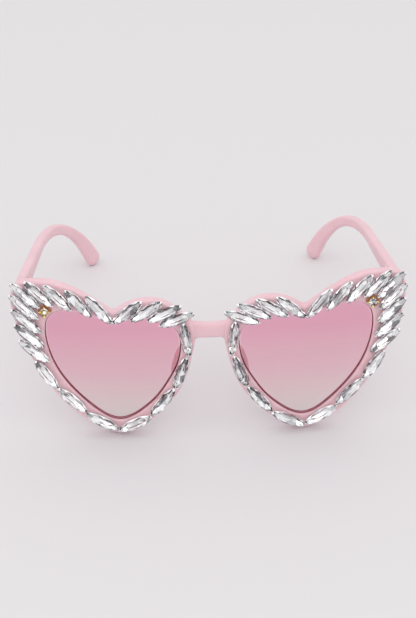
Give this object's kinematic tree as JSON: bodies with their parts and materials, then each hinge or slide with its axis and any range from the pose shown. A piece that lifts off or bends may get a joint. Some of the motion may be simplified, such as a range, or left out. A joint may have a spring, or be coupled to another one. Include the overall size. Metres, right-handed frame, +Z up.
{
  "type": "heart shaped sunglasses",
  "caption": "Heart shaped sunglasses with tinted lenses, folding temples and clear navette stones glued round the rims.",
  "frame": {"origin": "middle of the footprint on the table, under the glasses as they rest", "axes": "+X to the viewer's right across the front, -Y the way the front faces, +Z up from the table"},
  "size_m": [0.1566, 0.1367, 0.0664],
  "materials": {
    "frame_plastic": "polished milky pink moulding",
    "tinted_lens": "clear plastic with a pink tint that fades downwards",
    "crystal": "faceted clear stone with a silver foil back",
    "hinge_steel": "satin",
    "gold_setting": "polished gold plate",
    "glue": "dried clear glue, slightly browned"
  },
  "bodies": {
    "front": {"front_frame": "frame_plastic", "left_brow_navette_1": "crystal", "left_brow_navette_2": "crystal", "left_brow_navette_3": "crystal", "left_brow_navette_4": "crystal", "left_cheek_navette_1": "crystal", "left_cheek_navette_2": "crystal", "left_cheek_navette_3": "crystal", "left_front_hinge_leaf": "hinge_steel", "left_hinge_screw": "hinge_steel", "left_lens": "tinted_lens", "left_nose_navette_1": "crystal", "left_nose_navette_2": "crystal", "left_nose_navette_3": "crystal", "left_nose_navette_4": "crystal", "left_stone_glue": "glue", "left_stud_crystal": "crystal", "left_stud_setting": "gold_setting", "left_wing_navette_1": "crystal", "left_wing_navette_2": "crystal", "left_wing_navette_3": "crystal", "left_wing_navette_4": "crystal", "left_wing_navette_5": "crystal", "left_wing_navette_6": "crystal", "left_wing_navette_7": "crystal", "left_wing_navette_8": "crystal", "left_wing_navette_9": "crystal", "right_brow_navette_1": "crystal", "right_brow_navette_2": "crystal", "right_brow_navette_3": "crystal", "right_brow_navette_4": "crystal", "right_cheek_navette_1": "crystal", "right_cheek_navette_2": "crystal", "right_cheek_navette_3": "crystal", "right_front_hinge_leaf": "hinge_steel", "right_hinge_screw": "hinge_steel", "right_lens": "tinted_lens", "right_nose_navette_1": "crystal", "right_nose_navette_2": "crystal", "right_nose_navette_3": "crystal", "right_nose_navette_4": "crystal", "right_stone_glue": "glue", "right_stud_crystal": "crystal", "right_stud_setting": "gold_setting", "right_wing_navette_1": "crystal", "right_wing_navette_2": "crystal", "right_wing_navette_3": "crystal", "right_wing_navette_4": "crystal", "right_wing_navette_5": "crystal", "right_wing_navette_6": "crystal", "right_wing_navette_7": "crystal", "right_wing_navette_8": "crystal", "right_wing_navette_9": "crystal"},
    "left_arm": {"left_temple": "frame_plastic", "left_temple_hinge_leaf": "hinge_steel"},
    "right_arm": {"right_temple": "frame_plastic", "right_temple_hinge_leaf": "hinge_steel"}
  },
  "joints": [
    {"name": "left_temple_fold", "type": "hinge", "parent": "front", "child": "left_arm", "pos_m": [-0.07075, -0.04466, 0.05859], "axis": [0, -0.1958, -0.9806], "range_deg": [0, 81]},
    {"name": "right_temple_fold", "type": "hinge", "parent": "front", "child": "right_arm", "pos_m": [0.07075, -0.04466, 0.05859], "axis": [0, 0.1958, 0.9806], "range_deg": [0, 73]}
  ]
}
